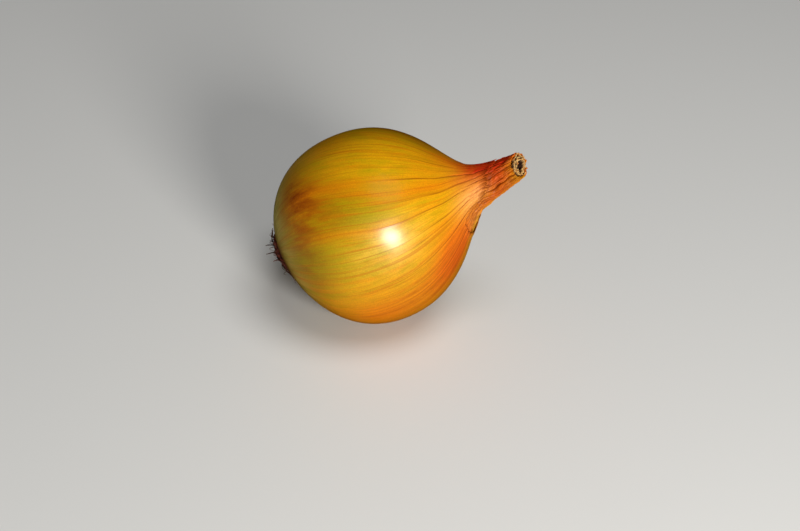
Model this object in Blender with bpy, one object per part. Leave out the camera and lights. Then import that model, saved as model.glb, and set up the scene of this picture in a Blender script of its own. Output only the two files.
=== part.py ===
"""A yellow onion, dried and trimmed, lying on its side on a small flat spot.

The bulb, its neck and its dry skins grew as one piece and are one solid. The
root plate closes the base of the bulb, and the dried roots grow out of it.

Frame: metres, +Z up. The origin is the centre of the flat spot that the bulb
rests on. The onion's own axis lies in the XZ plane and climbs from the roots,
on the -X side, to the neck, on the +X side. Each piece is shaped round its
own local Z, with the widest section of the bulb at local zero, and hangs on
one tilted empty.
"""
import math

import bmesh
import bpy
import numpy as np

MM = 0.001

# Bulb, measured along its axis from the widest section.
BULB_RADIUS = 36.0 * MM
BASE_DEPTH = 33.6 * MM
THROAT_HEIGHT = 42.0 * MM
THROAT_RADIUS = 8.7 * MM
THROAT_SLOPE = 0.44
NECK_HEIGHT = 60.0 * MM
NECK_RADIUS = 5.2 * MM

# How full the outline is: the lengths of its curve handles.
BASE_FULLNESS = 14.3 * MM
BELLY_FULLNESS = 24.7 * MM
SHOULDER_FULLNESS = 27.0 * MM
THROAT_HANDLE_BELOW = 8.9 * MM
THROAT_HANDLE_ABOVE = 6.4 * MM
NECK_HANDLE = 6.0 * MM
NECK_FLARE = 0.1

# The dry neck: a rounded lip round a shallow hollow, and pleats below it.
LIP_THICKNESS = 1.3 * MM
HOLLOW_DEPTH = 3.0 * MM
HOLLOW_TAPER = 0.5 * MM
PLEAT_COUNT = 8
PLEAT_DEPTH = 0.45 * MM
PLEAT_START = 34.0 * MM
LOBE_COUNT = 3
LOBE_DEPTH = 0.35 * MM

# Posture. The neck bends towards the upper side, turned a little towards -Y.
TILT = math.radians(26.4)
BEND_START = 40.0 * MM
BEND_ANGLE = math.radians(21.5)
BEND_TURN = math.radians(28.0)
BASE_LEAN = 3.3 * MM
FLAT_SINK = 0.9 * MM

# Root plate and roots.
GAP = 0.3 * MM
FLOOR_LIFT = 1.7 * MM
PLATE_RADIUS = 8.2 * MM
PLATE_RIM = 0.1 * MM
PLATE_CROWN = 1.8 * MM
ROOT_RADIUS = 0.3 * MM
ROOT_TIP_SHARE = 0.45
ROOT_STANDOFF = ROOT_RADIUS + 0.4 * MM
RING_ROOTS = 11
RING_ROOT_START = 6.0 * MM
RING_ROOT_REACH = (5.0 * MM, 13.0 * MM)
STUB_ROOTS = 5
STUB_START = 3.2 * MM
STUB_LENGTH = (1.8 * MM, 3.2 * MM)

# How finely the round pieces are cut.
BULB_SEGMENTS = 64
PLATE_SEGMENTS = 32
CURVE_POINTS = 14
ROOT_POINTS = 8
SHARP_ANGLE = math.radians(50.0)

CUTTER_SIZE = 0.12
SEED = 11


def clear_scene():
    for item in list(bpy.data.objects):
        bpy.data.objects.remove(item, do_unlink=True)


def make_material(name, colour, roughness):
    material = bpy.data.materials.new(name)
    material.use_nodes = True
    shader = material.node_tree.nodes["Principled BSDF"]
    shader.inputs["Base Color"].default_value = (*colour, 1.0)
    shader.inputs["Roughness"].default_value = roughness
    shader.inputs["Metallic"].default_value = 0.0
    return material


def add_object(name, data, parent, material):
    item = bpy.data.objects.new(name, data)
    bpy.context.scene.collection.objects.link(item)
    item.parent = parent
    data.materials.append(material)
    return item


def bezier(start, start_handle, end_handle, end, count=CURVE_POINTS):
    """Points (height, radius) of one cubic stretch, without its last point."""
    t = np.linspace(0.0, 1.0, count, endpoint=False)[:, None]
    corners = [np.array(corner) for corner in (start, start_handle, end_handle, end)]
    weights = ((1 - t) ** 3, 3 * (1 - t) ** 2 * t, 3 * (1 - t) * t ** 2, t ** 3)
    return sum(weight * corner for weight, corner in zip(weights, corners))


def body_outline():
    """The bulb's outline from root pole to neck end: base, shoulder and neck."""
    run = np.array([1.0, -THROAT_SLOPE]) / math.hypot(1.0, THROAT_SLOPE)
    pole = np.array([-BASE_DEPTH, 0.0])
    waist = np.array([0.0, BULB_RADIUS])
    throat = np.array([THROAT_HEIGHT, THROAT_RADIUS])
    neck = np.array([NECK_HEIGHT, NECK_RADIUS])
    base = bezier(pole, pole + (0, BASE_FULLNESS), waist - (BELLY_FULLNESS, 0), waist)
    shoulder = bezier(
        waist,
        waist + (SHOULDER_FULLNESS, 0),
        throat - THROAT_HANDLE_BELOW * run,
        throat,
    )
    sleeve = bezier(
        throat,
        throat + THROAT_HANDLE_ABOVE * run,
        neck + (-NECK_HANDLE, NECK_FLARE * NECK_HANDLE),
        neck,
        count=CURVE_POINTS // 2,
    )
    return np.vstack([base, shoulder, sleeve, neck])


def base_height(radius):
    """Height of the bulb's underside at a distance from the axis."""
    outline = body_outline()
    base = outline[outline[:, 0] <= 0.0]
    return np.interp(radius, base[:, 1], base[:, 0])


def bulb_outline():
    """The body outline with the flat seat for the root plate and the neck's hollow."""
    body = body_outline()
    seat = -BASE_DEPTH + FLOOR_LIFT
    seat_radius = np.interp(seat, body[:, 0], body[:, 1])
    body = body[body[:, 0] > seat + GAP]
    half_lip = LIP_THICKNESS / 2
    inner = NECK_RADIUS - LIP_THICKNESS
    floor = NECK_HEIGHT - HOLLOW_DEPTH
    mouth = [
        (NECK_HEIGHT + 0.7 * half_lip, NECK_RADIUS - 0.3 * half_lip),
        (NECK_HEIGHT + half_lip, NECK_RADIUS - half_lip),
        (NECK_HEIGHT + 0.7 * half_lip, inner + 0.3 * half_lip),
        (NECK_HEIGHT, inner),
        (floor + HOLLOW_TAPER, inner - HOLLOW_TAPER),
        (floor, inner - 3 * HOLLOW_TAPER),
        (floor, 0.0),
    ]
    return np.vstack([[(seat, 0.0), (seat, seat_radius)], body, mouth])


def plate_face(radius):
    """Height of the root plate's crowned face at a distance from the axis."""
    share = np.minimum(radius / PLATE_RADIUS, 1.0)
    return -BASE_DEPTH - PLATE_CROWN + (PLATE_CROWN + PLATE_RIM) * share ** 2


def plate_outline():
    """The plate's outline: crowned face, rounded rim and flat back."""
    back = -BASE_DEPTH + FLOOR_LIFT - GAP
    rim = 0.4 * MM
    face = [(plate_face(r), r) for r in np.linspace(0.0, PLATE_RADIUS - rim, 7)]
    edge = [(-BASE_DEPTH + PLATE_RIM + 0.5 * rim, PLATE_RADIUS), (back, PLATE_RADIUS), (back, 0.0)]
    return np.vstack([face, edge])


def spin_outline(name, outline, segments):
    """A closed turned body: the outline carried once round local Z."""
    shape = bmesh.new()
    points = [shape.verts.new((radius, 0.0, height)) for height, radius in outline]
    edges = [shape.edges.new(pair) for pair in zip(points, points[1:])]
    bmesh.ops.spin(
        shape,
        geom=points + edges,
        axis=(0.0, 0.0, 1.0),
        cent=(0.0, 0.0, 0.0),
        angle=2.0 * math.pi,
        steps=segments,
        use_merge=True,
    )
    bmesh.ops.remove_doubles(shape, verts=shape.verts, dist=0.001 * MM)
    bmesh.ops.recalc_face_normals(shape, faces=shape.faces)
    mesh = bpy.data.meshes.new(name)
    shape.to_mesh(mesh)
    shape.free()
    return mesh


def vertex_array(mesh):
    points = np.empty(len(mesh.vertices) * 3)
    mesh.vertices.foreach_get("co", points)
    return points.reshape(-1, 3)


def swell(points):
    """Three soft lobes round the waist, and pleats that deepen along the neck."""
    height = points[:, 2]
    radius = np.hypot(points[:, 0], points[:, 1])
    angle = np.arctan2(points[:, 1], points[:, 0])
    waist = np.clip(radius / BULB_RADIUS, 0.0, 1.0) ** 3
    climb = np.clip((height - PLEAT_START) / (NECK_HEIGHT - PLEAT_START), 0.0, 1.0)
    outside = np.clip(radius / NECK_RADIUS, 0.0, 1.0)
    change = LOBE_DEPTH * waist * np.cos(LOBE_COUNT * angle + 1.1)
    change += PLEAT_DEPTH * climb * outside * np.cos(PLEAT_COUNT * angle)
    scale = 1.0 + change / np.maximum(radius, 0.1 * MM)
    return points * np.stack([scale, scale, np.ones_like(scale)], axis=1)


def lean_base(points):
    """Shift the base towards the upper side, more and more towards the root pole.

    Local -X is the upper side once the axis is tilted.
    """
    leaned = points.copy()
    leaned[:, 0] -= BASE_LEAN * (np.minimum(points[:, 2], 0.0) / BASE_DEPTH) ** 2
    return leaned


def bend_neck(points):
    """Carry everything above the bend's start round an arc in a plane that holds the axis."""
    arc_radius = (NECK_HEIGHT - BEND_START) / BEND_ANGLE
    angle = np.maximum(points[:, 2] - BEND_START, 0.0) / arc_radius
    cos_turn, sin_turn = math.cos(BEND_TURN), math.sin(BEND_TURN)
    inward = -points[:, 0] * cos_turn - points[:, 1] * sin_turn
    across = points[:, 0] * sin_turn - points[:, 1] * cos_turn
    height = np.minimum(points[:, 2], BEND_START) + arc_radius * np.sin(angle)
    height -= inward * np.sin(angle)
    inward = arc_radius * (1.0 - np.cos(angle)) + inward * np.cos(angle)
    x = -inward * cos_turn + across * sin_turn
    y = -inward * sin_turn - across * cos_turn
    return np.stack([x, y, height], axis=1)


def resting_offset():
    """Where the flat spot lies below the waist's centre: along X, and down."""
    height, radius = body_outline().T
    underside = lean_base(np.stack([radius, 0.0 * radius, height], axis=1))
    drop = underside[:, 0] * math.cos(TILT) - height * math.sin(TILT)
    lowest = int(np.argmax(drop))
    along = height[lowest] * math.cos(TILT) + underside[lowest, 0] * math.sin(TILT)
    return along, drop[lowest] - FLAT_SINK


def make_axis():
    """The empty that every piece hangs on: it places and tilts the onion's axis."""
    axis = bpy.data.objects.new("onion_axis", None)
    bpy.context.scene.collection.objects.link(axis)
    along, down = resting_offset()
    axis.location = (-along, 0.0, down)
    axis.rotation_euler = (0.0, math.pi / 2 - TILT, 0.0)
    return axis


def make_floor_cutter():
    """A block whose top is the surface that the onion rests on."""
    shape = bmesh.new()
    bmesh.ops.create_cube(shape, size=CUTTER_SIZE)
    mesh = bpy.data.meshes.new("floor_cutter")
    shape.to_mesh(mesh)
    shape.free()
    cutter = bpy.data.objects.new("floor_cutter", mesh)
    bpy.context.scene.collection.objects.link(cutter)
    cutter.location = (0.0, 0.0, -CUTTER_SIZE / 2)
    cutter.hide_render = True
    cutter.display_type = "WIRE"
    return cutter


def make_bulb(axis, skin):
    mesh = spin_outline("bulb", bulb_outline(), BULB_SEGMENTS)
    points = bend_neck(lean_base(swell(vertex_array(mesh))))
    mesh.vertices.foreach_set("co", points.ravel())
    mesh.shade_smooth()
    mesh.set_sharp_from_angle(angle=SHARP_ANGLE)
    bulb = add_object("bulb", mesh, axis, skin)
    flat = bulb.modifiers.new("resting_spot", "BOOLEAN")
    flat.operation = "DIFFERENCE"
    flat.object = make_floor_cutter()
    return bulb


def make_root_plate(axis, cork):
    mesh = spin_outline("root_plate", plate_outline(), PLATE_SEGMENTS)
    mesh.vertices.foreach_set("co", lean_base(vertex_array(mesh)).ravel())
    mesh.shade_smooth()
    mesh.set_sharp_from_angle(angle=SHARP_ANGLE)
    return add_object("root_plate", mesh, axis, cork)


def ring_root_path(turn, reach, sweep, hump):
    """A root that leaves the plate near its rim and lies back along the bulb's base.

    Its distance from the axis grows evenly, it drifts round by sweep, and it
    stands off the surface by a fixed gap plus a hump in the middle.
    """
    t = np.linspace(0.0, 1.0, ROOT_POINTS)
    radius = RING_ROOT_START + reach * t
    angle = turn + sweep * t ** 2
    past_rim = np.clip((radius - PLATE_RADIUS) / (4.0 * MM), 0.0, 1.0)
    share = past_rim ** 2 * (3.0 - 2.0 * past_rim)
    over_plate = plate_face(np.minimum(radius, PLATE_RADIUS))
    surface = over_plate * (1.0 - share) + base_height(radius) * share
    surface = np.minimum(surface, base_height(radius))
    height = surface - ROOT_STANDOFF - hump * np.sin(math.pi * t)
    path = np.stack([radius * np.cos(angle), radius * np.sin(angle), height], axis=1)
    return lean_base(path)


def stub_root_path(turn, length, lean):
    """A short broken root that stands straight out of the plate and leans outwards."""
    t = np.linspace(0.0, 1.0, ROOT_POINTS // 2)
    radius = STUB_START + length * math.sin(lean) * t ** 1.5
    height = plate_face(STUB_START) - ROOT_STANDOFF - length * math.cos(lean) * t
    path = np.stack([radius * math.cos(turn), radius * math.sin(turn), height], axis=1)
    return lean_base(path)


def make_root(name, path, axis, fibre):
    """A tapering tube with closed ends along the path."""
    curve = bpy.data.curves.new(name, "CURVE")
    curve.dimensions = "3D"
    curve.bevel_depth = ROOT_RADIUS
    curve.bevel_resolution = 1
    curve.render_resolution_u = 0
    curve.use_fill_caps = True
    spline = curve.splines.new("POLY")
    spline.points.add(len(path) - 1)
    for index, (point, place) in enumerate(zip(spline.points, path)):
        point.co = (*place, 1.0)
        point.radius = 1.0 - (1.0 - ROOT_TIP_SHARE) * index / (len(path) - 1)
    return add_object(name, curve, axis, fibre)


def make_roots(axis, fibre):
    draw = np.random.default_rng(SEED)
    paths = []
    for index in range(RING_ROOTS):
        turn = 2.0 * math.pi * (index + draw.uniform(-0.2, 0.2)) / RING_ROOTS
        reach = draw.uniform(*RING_ROOT_REACH)
        sweep = draw.uniform(-0.12, 0.12)
        hump = draw.uniform(0.1, 0.5) * MM
        paths.append(ring_root_path(turn, reach, sweep, hump))
    for index in range(STUB_ROOTS):
        turn = 2.0 * math.pi * (index + draw.uniform(0.3, 0.6)) / STUB_ROOTS
        length = draw.uniform(*STUB_LENGTH)
        lean = math.radians(draw.uniform(5.0, 30.0))
        paths.append(stub_root_path(turn, length, lean))
    for number, path in enumerate(paths, start=1):
        make_root(f"root_{number:02d}", path, axis, fibre)


def main():
    clear_scene()
    skin = make_material("dry_onion_skin", (0.60, 0.30, 0.015), 0.35)
    cork = make_material("corky_root_plate", (0.075, 0.022, 0.012), 0.85)
    fibre = make_material("dried_root", (0.045, 0.025, 0.014), 0.9)
    axis = make_axis()
    make_bulb(axis, skin)
    make_root_plate(axis, cork)
    make_roots(axis, fibre)


main()
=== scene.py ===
"""The look of a yellow onion lying on its side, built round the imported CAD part.

The outer dry skin is a thin shell with a torn edge. Under it lies the bulb with
its pleated neck, and at the base are the cracked root plate and the dried roots.

Two numbers give a place on the skin. "along" is the length over the skin from
the root pole. "turn" is the angle round the onion's own axis, with 0 on the
upper side and -90 degrees on the -Y side.
"""
import math

import bpy
import numpy as np
from mathutils import Matrix, Vector


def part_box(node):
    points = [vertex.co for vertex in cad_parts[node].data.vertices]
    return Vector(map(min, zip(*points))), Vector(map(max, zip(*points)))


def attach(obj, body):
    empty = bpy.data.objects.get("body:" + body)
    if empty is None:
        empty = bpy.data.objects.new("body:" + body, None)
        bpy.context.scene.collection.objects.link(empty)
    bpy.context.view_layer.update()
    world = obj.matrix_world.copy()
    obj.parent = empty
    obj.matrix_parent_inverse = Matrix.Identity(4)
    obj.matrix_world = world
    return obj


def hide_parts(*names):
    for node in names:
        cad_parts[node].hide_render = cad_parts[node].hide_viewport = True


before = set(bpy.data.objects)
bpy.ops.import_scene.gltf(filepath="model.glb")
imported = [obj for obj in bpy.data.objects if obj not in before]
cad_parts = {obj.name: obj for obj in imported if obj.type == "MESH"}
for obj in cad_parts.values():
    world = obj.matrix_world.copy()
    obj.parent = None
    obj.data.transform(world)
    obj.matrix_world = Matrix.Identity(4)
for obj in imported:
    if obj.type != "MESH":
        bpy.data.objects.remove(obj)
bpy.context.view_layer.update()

BULB_LOW, BULB_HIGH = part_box("bulb")

# One millimetre of the onion, taken from the bulb's width of 72 of them.
MM = (BULB_HIGH.y - BULB_LOW.y) / 72.0

# The bulb's outline, in the same sizes as the CAD part.
BULB_RADIUS = 36.0 * MM
BASE_DEPTH = 33.6 * MM
THROAT_HEIGHT = 42.0 * MM
THROAT_RADIUS = 8.7 * MM
THROAT_SLOPE = 0.44
NECK_HEIGHT = 60.0 * MM
NECK_RADIUS = 5.2 * MM
BASE_FULLNESS = 14.3 * MM
BELLY_FULLNESS = 24.7 * MM
SHOULDER_FULLNESS = 27.0 * MM
THROAT_HANDLE_BELOW = 8.9 * MM
THROAT_HANDLE_ABOVE = 6.4 * MM
NECK_HANDLE = 6.0 * MM
NECK_FLARE = 0.1
NECK_SPARE = 4.0 * MM
LOBE_DEPTH = 0.35 * MM

# Posture, the same as the CAD part.
TILT = math.radians(26.4)
BEND_START = 40.0 * MM
BEND_ANGLE = math.radians(21.5)
BEND_TURN = math.radians(28.0)
BASE_LEAN = 3.3 * MM
FLAT_SINK = 0.9 * MM

# The outer skin.
SKIN_STANDOFF = 0.12 * MM
SKIN_THICKNESS = 0.16 * MM
SKIN_ROWS = 150
SKIN_INNER_ROWS = 20
CELL_COLUMNS = 12
SKIN_START = 8.2 * MM
EDGE_CURL = 0.50 * MM
VEIN_WIDTH = 0.22 * MM

# Veins, in degrees of turn, with how strong each one is. The rest are drawn.
VEINS = [
    (-148, 0.5), (-139, 0.6), (-129.5, 0.9), (-121, 0.7), (-113.5, 1.0), (-105.5, 0.8),
    (-99, 0.3), (-93, 1.3), (-85, 0.3), (-77, 0.9), (-70.5, 0.6), (-62, 0.2), (-55, 1.0),
    (-50, 0.4), (-41, 0.75), (-33, 0.3), (-24.5, 1.0), (-15, 0.4), (-6, 0.5), (3, 0.35),
    (10, 0.55), (19, 0.4), (28, 0.5),
]
BACK_VEINS = 23

# The torn upper edge of the outer skin: (turn in degrees, length along).
TORN_EDGE = [
    (-180, 106), (-150, 98), (-128, 97), (-107, 98), (-99, 99.5), (-93.5, 107), (-88, 112),
    (-70, 114.5), (-45, 116), (-15, 118.5), (20, 119), (60, 117), (84, 108), (98, 116),
    (140, 115), (160, 111),
]

# A raised fold and the dent beside it at the foot of the neck:
# (height in MM, turn, along, half width in turn, half width along).
FOLDS = [(0.60, -85, 105, 7, 9), (-0.35, -104, 104, 9, 9)]

# Where the torn edge lies close to the bulb: (turn, along, half width in turn, half width along).
SNUG_FRONT = (-112, 100, 16, 9)
SNUG_TOP = (8, 118, 45, 9)

# The bulb body, its neck and the hollow at the neck's end.
BODY_COLUMNS = 360
BODY_ROWS = 70
NECK_ROWS = 130
HOLLOW_ROWS = 36
NECK_FROM = 88.0 * MM
HOLLOW_DEPTH = 6.0 * MM
NECK_WALL = 0.55 * MM
CUT_BEYOND = 0.8 * MM
CUT_SLANT = 1.3 * MM
CUT_TURN = math.radians(58.0)

# Dried layers inside the neck, in MM: (mean radius, top over the neck's end, shift up, shift sideways).
NECK_LAYERS = [(3.8, 0.2, 0.0, 0.0), (3.1, 0.0, -0.25, 0.2), (2.2, -0.1, -0.6, 0.45)]
LAYER_COLUMNS = 168
LAYER_ROWS = 22
LAYER_DEPTH = 5.5 * MM
LAYER_WALL = 0.22 * MM

# Root plate and roots. The cork's crown stands 0.8 mm prouder than the plain CAD plate.
PLATE_RADIUS = 8.2 * MM
PLATE_CROWN = 2.6 * MM
PLATE_RIM = 0.1 * MM
FLOOR_LIFT = 1.7 * MM
ROOT_RADIUS = 0.3 * MM
ROOT_STANDOFF = ROOT_RADIUS + 0.4 * MM
RING_ROOTS = 11
RING_ROOT_START = 6.0 * MM
RING_ROOT_REACH = (5.0 * MM, 13.0 * MM)
STUB_ROOTS = 5
STUB_START = 3.2 * MM
STUB_LENGTH = (1.8 * MM, 3.2 * MM)
ROOT_SEED = 11
ROOT_HAIRS = 120
PLATE_COLUMNS = 180
PLATE_ROWS = 64
ROOT_SCARS = 60
CRACK_DEPTH = 0.42 * MM
HAIR_START = (2.0 * MM, 8.0 * MM)
HAIR_REACH = (1.5 * MM, 9.5 * MM)
HAIR_RADIUS = (0.06 * MM, 0.13 * MM)


# ---------------------------------------------------------------- shape of the onion

def smoothstep(low, high, value):
    share = np.clip((value - low) / (high - low), 0.0, 1.0)
    return share * share * (3.0 - 2.0 * share)


def wrap(angle):
    return (angle + math.pi) % (2.0 * math.pi) - math.pi


def bezier(start, start_handle, end_handle, end, count=300):
    """Points (height, radius) of one cubic stretch, without its last point."""
    t = np.linspace(0.0, 1.0, count, endpoint=False)[:, None]
    corners = [np.array(corner) for corner in (start, start_handle, end_handle, end)]
    weights = ((1 - t) ** 3, 3 * (1 - t) ** 2 * t, 3 * (1 - t) * t ** 2, t ** 3)
    return sum(weight * corner for weight, corner in zip(weights, corners))


def make_outline():
    """Height, radius and length along of the bulb's outline, with spare length at the neck.

    Three cubic curves run from the root pole to the waist, to the throat and to
    the neck's end, and a straight stretch carries on past the end.
    """
    run = np.array([1.0, -THROAT_SLOPE]) / math.hypot(1.0, THROAT_SLOPE)
    pole = np.array([-BASE_DEPTH, 0.0])
    waist = np.array([0.0, BULB_RADIUS])
    throat = np.array([THROAT_HEIGHT, THROAT_RADIUS])
    neck = np.array([NECK_HEIGHT, NECK_RADIUS])
    handle = neck + (-NECK_HANDLE, NECK_FLARE * NECK_HANDLE)
    outline = np.vstack([
        bezier(pole, pole + (0, BASE_FULLNESS), waist - (BELLY_FULLNESS, 0), waist),
        bezier(waist, waist + (SHOULDER_FULLNESS, 0), throat - THROAT_HANDLE_BELOW * run, throat),
        bezier(throat, throat + THROAT_HANDLE_ABOVE * run, handle, neck),
        neck,
        neck + (NECK_SPARE, -0.5 * NECK_FLARE * NECK_SPARE),
    ])
    steps = np.hypot(*np.diff(outline, axis=0).T)
    return outline[:, 0], outline[:, 1], np.concatenate([[0.0], np.cumsum(steps)])


OUTLINE_HEIGHT, OUTLINE_RADIUS, OUTLINE_LENGTH = make_outline()
NECK_END = OUTLINE_LENGTH[-2]


def on_outline(along):
    """Height and radius at a length along, and the height and radius of the outward direction."""
    height = np.interp(along, OUTLINE_LENGTH, OUTLINE_HEIGHT)
    radius = np.interp(along, OUTLINE_LENGTH, OUTLINE_RADIUS)
    reach = 0.4 * MM
    low, high = np.maximum(along - reach, 0.0), along + reach
    run, rise = (
        np.interp(high, OUTLINE_LENGTH, line) - np.interp(low, OUTLINE_LENGTH, line)
        for line in (OUTLINE_HEIGHT, OUTLINE_RADIUS)
    )
    size = np.maximum(np.hypot(run, rise), 1e-9)
    return height, radius, -rise / size, run / size


def resting_offset():
    """Where the flat spot lies below the waist's centre: along X, and down."""
    below = OUTLINE_HEIGHT <= NECK_HEIGHT
    height, radius = OUTLINE_HEIGHT[below], OUTLINE_RADIUS[below]
    across = radius - BASE_LEAN * (np.minimum(height, 0.0) / BASE_DEPTH) ** 2
    drop = across * math.cos(TILT) - height * math.sin(TILT)
    lowest = int(np.argmax(drop))
    along = height[lowest] * math.cos(TILT) + across[lowest] * math.sin(TILT)
    return along, drop[lowest] - FLAT_SINK


REST_ALONG, REST_DROP = resting_offset()
CENTRE = Vector((-REST_ALONG, 0.0, REST_DROP))


def place(height, up, side):
    """World points from a height on the axis and distances up and sideways from it.

    The base leans towards the upper side by the square of its depth. Above the
    bend's start the neck follows an arc, in a plane turned a little towards -Y.
    Then the axis is tilted and set down on the surface.
    """
    up = up + BASE_LEAN * (np.minimum(height, 0.0) / BASE_DEPTH) ** 2
    cos_turn, sin_turn = math.cos(BEND_TURN), math.sin(BEND_TURN)
    arc_radius = (NECK_HEIGHT - BEND_START) / BEND_ANGLE
    angle = np.maximum(height - BEND_START, 0.0) / arc_radius
    inward = up * cos_turn - side * sin_turn
    across = -up * sin_turn - side * cos_turn
    height = np.minimum(height, BEND_START) + (arc_radius - inward) * np.sin(angle)
    inward = arc_radius - (arc_radius - inward) * np.cos(angle)
    up = inward * cos_turn - across * sin_turn
    side = -inward * sin_turn - across * cos_turn
    x = height * math.cos(TILT) - up * math.sin(TILT) + CENTRE.x
    z = height * math.sin(TILT) + up * math.cos(TILT) + CENTRE.z
    return np.stack([x, side + 0.0 * x, z], axis=-1)


def press_flat(points, floor):
    """Points pressed softly onto a level: below it they settle just above it."""
    soft = 0.12 * MM
    depth = np.clip((points[..., 2] - floor) / soft, -30.0, 30.0)
    pressed = points.copy()
    pressed[..., 2] = np.where(depth > 20.0, points[..., 2], floor + soft * np.log1p(np.exp(depth)))
    return pressed


# ---------------------------------------------------------------- seeded unevenness

def bumps(seed, turn, along, cells_round, cell_length):
    """Smooth random heights from -1 to 1 over turn and along, closed round the onion.

    Random numbers sit at the corners of a grid of cells, and a smooth step joins
    them along each side of a cell.
    """
    rows = int(math.ceil(140.0 * MM / cell_length)) + 2
    corners = np.random.default_rng(seed).uniform(-1.0, 1.0, (cells_round, rows))
    across = (turn / (2.0 * math.pi)) % 1.0 * cells_round
    ahead = np.clip(along / cell_length, 0.0, rows - 1.001)
    column, row = np.floor(across).astype(int), np.floor(ahead).astype(int)
    s, t = smoothstep(0.0, 1.0, across - column), smoothstep(0.0, 1.0, ahead - row)
    column, beside = column % cells_round, (column + 1) % cells_round
    near = corners[column, row] * (1 - s) + corners[beside, row] * s
    far = corners[column, row + 1] * (1 - s) + corners[beside, row + 1] * s
    return near * (1 - t) + far * t


def ragged(seed, turn, waves):
    """An uneven line round the onion, about -1 to 1: random heights joined by straight steps."""
    heights = np.random.default_rng(seed).uniform(-1.0, 1.0, waves)
    knots = np.arange(waves + 1) / waves
    return np.interp((turn / (2.0 * math.pi)) % 1.0, knots, np.append(heights, heights[0]))


def patch(turn, along, at_turn, at_along, half_turn, half_along):
    """1 at a place on the skin, falling off like a bell. Turns are in degrees, lengths in MM."""
    across = wrap(turn - math.radians(at_turn)) / math.radians(half_turn)
    ahead = (along - at_along * MM) / (half_along * MM)
    return np.exp(-across ** 2 - ahead ** 2)


def total(patches, turn, along):
    """The sum of (strength, at_turn, at_along, half_turn, half_along) patches, within 0 and 1."""
    parts = (strength * patch(turn, along, *where) for strength, *where in patches)
    return np.clip(sum(parts), 0.0, 1.0)


# ---------------------------------------------------------------- veins, pleats and edges

def make_veins():
    """Turns and strengths of every vein, sorted: the chosen ones, and drawn ones on the back."""
    draw = np.random.default_rng(5)
    first = VEINS[-1][0] + 8.0
    room = 360.0 + VEINS[0][0] - 8.0 - first
    spread = (np.arange(BACK_VEINS) + draw.uniform(-0.25, 0.25, BACK_VEINS)) / (BACK_VEINS - 1)
    back = [(first + room * share, draw.uniform(0.25, 1.0)) for share in np.clip(spread, 0.0, 1.0)]
    veins = np.array(sorted(VEINS + back))
    return np.radians(veins[:, 0]), veins[:, 1]


VEIN_TURNS, VEIN_STRENGTHS = make_veins()


def sway(turn, along):
    """How far the veins swing round: a little back over the waist, then on round the neck."""
    near = (0.5 + 0.5 * np.cos(turn + math.radians(20.0))) ** 4
    back = smoothstep(35.0 * MM, 80.0 * MM, along)
    forward = smoothstep(90.0 * MM, 120.0 * MM, along)
    wander = 0.8 * bumps(21, turn, along, 24, 17.0 * MM)
    return np.radians(near * (25.0 * forward - 10.0 * back) + wander)


def vein_lines(turn, along, width, power=1.0):
    """1 on each full-strength vein, falling off sideways over a width.

    Up the neck the veins wander from side to side, as they do in shrivelled skin.
    """
    radius = np.maximum(on_outline(along)[1], 1.0 * MM)
    wander = bumps(22, turn, along, 13, 5.0 * MM) + 0.5 * bumps(23, turn, along, 21, 2.6 * MM)
    turn = turn + 0.11 * smoothstep(99.0 * MM, 113.0 * MM, along) * wander
    lines = np.zeros_like(radius)
    for at_turn, strength in zip(VEIN_TURNS, VEIN_STRENGTHS):
        offset = wrap(turn - at_turn) * radius / width
        lines += strength ** power * np.exp(-np.minimum(offset ** 2, 40.0))
    return lines


def form(turn, along):
    """Lift of the bulb's surface off the outline: lobes, dents, and pleats that deepen up the neck."""
    radius = on_outline(along)[1]
    waist = np.clip(radius / BULB_RADIUS, 0.0, 1.0) ** 3
    lift = LOBE_DEPTH * waist * np.cos(3.0 * (math.pi - turn) + 1.1)
    lift += 0.28 * MM * waist * bumps(31, turn, along, 9, 26.0 * MM)
    lift += 0.10 * MM * waist * bumps(32, turn, along, 26, 21.0 * MM)
    rise = smoothstep(84.0 * MM, 120.0 * MM, along)
    lift -= 0.50 * MM * rise * vein_lines(turn, along, 0.24 * MM + 0.30 * MM * (1 - rise), 2.0)
    lift += 0.32 * MM * rise * bumps(33, turn, along, 19, 13.0 * MM)
    lift -= 0.45 * MM * smoothstep(110.0 * MM, 124.0 * MM, along)
    return lift + sum(rise * MM * patch(turn, along, *where) for rise, *where in FOLDS)


def neck_end(turn):
    """Length along at which the neck was cut, a little aslant: longest at the cut's turn."""
    return NECK_END + CUT_BEYOND + CUT_SLANT * np.cos(turn - CUT_TURN)


def torn_edge(turn):
    """Length along at which the outer skin ends."""
    knots = np.array(TORN_EDGE + [(180, TORN_EDGE[0][1])])
    edge = np.interp(np.degrees(wrap(turn)), knots[:, 0], knots[:, 1]) * MM
    return edge + 0.55 * MM * ragged(41, turn, 70) + 0.35 * MM * ragged(42, turn, 190)


def root_edge(turn):
    """Length along at which the outer skin starts, near the root plate."""
    return SKIN_START + 0.9 * MM * ragged(43, turn, 17) + 0.5 * MM * ragged(44, turn, 90)


# ---------------------------------------------------------------- meshes

def ring_faces(rows, columns, rows_close=False):
    """Quads of a grid whose columns close round, and whose rows close too when asked."""
    row = np.arange(rows if rows_close else rows - 1)[:, None]
    column = np.arange(columns)[None, :]
    next_row, next_column = (row + 1) % rows, (column + 1) % columns
    corners = (
        row * columns + column,
        row * columns + next_column,
        next_row * columns + next_column,
        next_row * columns + column,
    )
    return np.stack(corners, axis=-1).reshape(-1, 4)


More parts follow.
